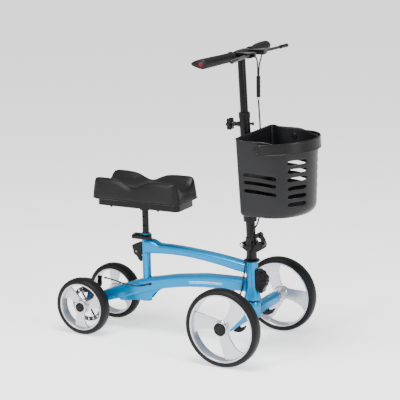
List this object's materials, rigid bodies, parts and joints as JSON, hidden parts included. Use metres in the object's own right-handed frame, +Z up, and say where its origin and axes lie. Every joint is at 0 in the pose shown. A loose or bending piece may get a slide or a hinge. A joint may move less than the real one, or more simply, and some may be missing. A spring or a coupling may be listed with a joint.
{
  "type": "knee scooter",
  "caption": "Folding knee scooter: bridge frame on spoked wheels, height-adjustable padded knee rest, telescopic folding steering column with brake levers, and a lift-off basket.",
  "frame": {"origin": "centre of the object's bounding box at floor level, where the tyres stand", "axes": "+X forward, +Y to the rider's left, +Z up"},
  "size_m": [0.9164, 0.462, 0.9744],
  "materials": {
    "blue_paint": "gloss",
    "satin_black": "satin",
    "black_plastic": "satin",
    "basket_plastic": "matt",
    "pad_cover": "matt, coated cloth over foam",
    "rim_plastic": "satin",
    "tyre_rubber": "matt",
    "grip_rubber": "matt",
    "cable_sheath": "satin",
    "bright_steel": "brushed"
  },
  "bodies": {
    "frame": {"main_frame": "blue_paint", "upper_head_bearing": "black_plastic", "lower_head_bearing": "black_plastic", "rear_axle": "bright_steel", "head_block": "black_plastic", "seat_collar": "satin_black", "seat_collar_bolt": "bright_steel", "seat_lock_bracket": "black_plastic", "seat_lock_pin": "bright_steel", "head_cable": "cable_sheath", "cable_adjuster": "bright_steel", "frame_cable": "cable_sheath", "cable_grommet": "grip_rubber", "caliper_body": "black_plastic"},
    "fork": {"front_crossmember": "blue_paint", "steerer_tube": "bright_steel", "hinge_lower_block": "satin_black", "hinge_pin": "bright_steel"},
    "column": {"hinge_upper_block": "satin_black", "column_tube": "satin_black", "column_collar": "black_plastic", "basket_bracket": "satin_black", "basket_collar": "black_plastic", "column_cable": "cable_sheath"},
    "bars": {"stem": "satin_black", "handlebar": "satin_black", "right_grip": "grip_rubber", "left_grip": "grip_rubber", "right_lever_perch": "black_plastic", "left_lever_perch": "black_plastic", "right_lever_cable": "cable_sheath", "left_lever_cable": "cable_sheath", "cable_splitter": "black_plastic"},
    "right_brake": {"right_brake_lever": "black_plastic"},
    "left_brake": {"left_brake_lever": "black_plastic"},
    "basket_unit": {"basket": "basket_plastic"},
    "carrying_handle": {"basket_handle": "basket_plastic"},
    "height_knob": {"column_knob": "black_plastic"},
    "fold_latch": {"fold_lever": "black_plastic"},
    "right_wing": {"right_arm_lever": "black_plastic"},
    "left_wing": {"left_arm_lever": "black_plastic"},
    "seat": {"seat_post": "satin_black", "pad_tray": "black_plastic", "knee_pad": "pad_cover"},
    "seat_cam": {"seat_collar_lever": "satin_black"},
    "seat_lock": {"seat_lock_lever": "black_plastic"},
    "pull_arm": {"caliper_arm": "satin_black"},
    "wheel_front_right": {"front_right_tyre": "tyre_rubber", "front_right_rim": "rim_plastic", "front_right_hub_cap": "black_plastic"},
    "wheel_front_left": {"front_left_tyre": "tyre_rubber", "front_left_rim": "rim_plastic", "front_left_hub_cap": "black_plastic"},
    "wheel_rear_right": {"rear_right_tyre": "tyre_rubber", "rear_right_rim": "rim_plastic", "rear_right_hub_cap": "black_plastic", "brake_rotor": "bright_steel"},
    "wheel_rear_left": {"rear_left_tyre": "tyre_rubber", "rear_left_rim": "rim_plastic", "rear_left_hub_cap": "black_plastic"}
  },
  "joints": [
    {"name": "steer", "type": "hinge", "parent": "frame", "child": "fork", "pos_m": [0.223, 0, 0.2], "axis": [0, 0, 1], "range_deg": [-35, 35], "deforming": ["head_cable", "column_cable"]},
    {"name": "column_fold", "type": "hinge", "parent": "fork", "child": "column", "pos_m": [0.196, 0, 0.345], "axis": [0, 1, 0], "range_deg": [-50, 0], "deforming": ["head_cable", "column_cable"]},
    {"name": "bar_height", "type": "slide", "parent": "column", "child": "bars", "axis": [-0.0407, 0, 0.9992], "range_m": [-0.06, 0.1], "deforming": ["column_cable"]},
    {"name": "basket_lift", "type": "slide", "parent": "column", "child": "basket_unit", "axis": [0, 0, 1], "range_m": [0, 0.017]},
    {"name": "carrying_handle_swing", "type": "hinge", "parent": "basket_unit", "child": "carrying_handle", "pos_m": [0.32, 0, 0.685], "axis": [0, -1, 0], "range_deg": [0, 95]},
    {"name": "height_knob_turn", "type": "hinge", "parent": "column", "child": "height_knob", "pos_m": [0.1571, 0, 0.73464], "axis": [0.9992, 0, 0.0407], "range_deg": [-360, 0]},
    {"name": "fold_latch_open", "type": "hinge", "parent": "fork", "child": "fold_latch", "pos_m": [0.263, 0, 0.35], "axis": [0, 1, 0], "range_deg": [0, 70]},
    {"name": "right_brake_squeeze", "type": "hinge", "parent": "bars", "child": "right_brake", "pos_m": [0.24889, -0.052, 0.96306], "axis": [0.0407, 0, -0.9992], "range_deg": [0, 18], "stiffness_Nm_per_rad": 0.8, "springref_deg": -20.05},
    {"name": "left_brake_squeeze", "type": "hinge", "parent": "bars", "child": "left_brake", "pos_m": [0.24889, 0.052, 0.96306], "axis": [-0.0407, 0, 0.9992], "range_deg": [0, 18], "stiffness_Nm_per_rad": 0.8, "springref_deg": -20.05},
    {"name": "caliper_pull", "type": "hinge", "parent": "frame", "child": "pull_arm", "pos_m": [-0.322, -0.06, 0.165], "axis": [0, 1, 0], "range_deg": [0, 8], "deforming": ["frame_cable"]},
    {"name": "right_wing_turn", "type": "hinge", "parent": "fork", "child": "right_wing", "pos_m": [0.223, -0.103, 0.098], "axis": [0, 0, 1], "range_deg": [-30, 30]},
    {"name": "left_wing_turn", "type": "hinge", "parent": "fork", "child": "left_wing", "pos_m": [0.223, 0.103, 0.098], "axis": [0, 0, 1], "range_deg": [-30, 30]},
    {"name": "seat_height", "type": "slide", "parent": "frame", "child": "seat", "axis": [0, 0, 1], "range_m": [-0.06, 0.06]},
    {"name": "seat_cam_open", "type": "hinge", "parent": "frame", "child": "seat_cam", "pos_m": [-0.207, -0.0152, 0.3333], "axis": [0, 0, 1], "range_deg": [-95, 0]},
    {"name": "seat_lock_press", "type": "hinge", "parent": "frame", "child": "seat_lock", "pos_m": [-0.202, 0, 0.281], "axis": [0, 1, 0], "range_deg": [0, 20], "stiffness_Nm_per_rad": 0.1, "springref_deg": -17.19},
    {"name": "front_right_spin", "type": "hinge", "parent": "fork", "child": "wheel_front_right", "pos_m": [0.223, -0.206, 0.127], "axis": [0, 1, 0], "continuous": true},
    {"name": "front_left_spin", "type": "hinge", "parent": "fork", "child": "wheel_front_left", "pos_m": [0.223, 0.206, 0.127], "axis": [0, 1, 0], "continuous": true},
    {"name": "rear_right_spin", "type": "hinge", "parent": "frame", "child": "wheel_rear_right", "pos_m": [-0.362, -0.103, 0.097], "axis": [0, 1, 0], "continuous": true},
    {"name": "rear_left_spin", "type": "hinge", "parent": "frame", "child": "wheel_rear_left", "pos_m": [-0.362, 0.103, 0.097], "axis": [0, 1, 0], "continuous": true}
  ],
  "couplings": [
    {"joint": "caliper_pull", "follows": "right_brake_squeeze", "ratio": 0.4444}
  ]
}
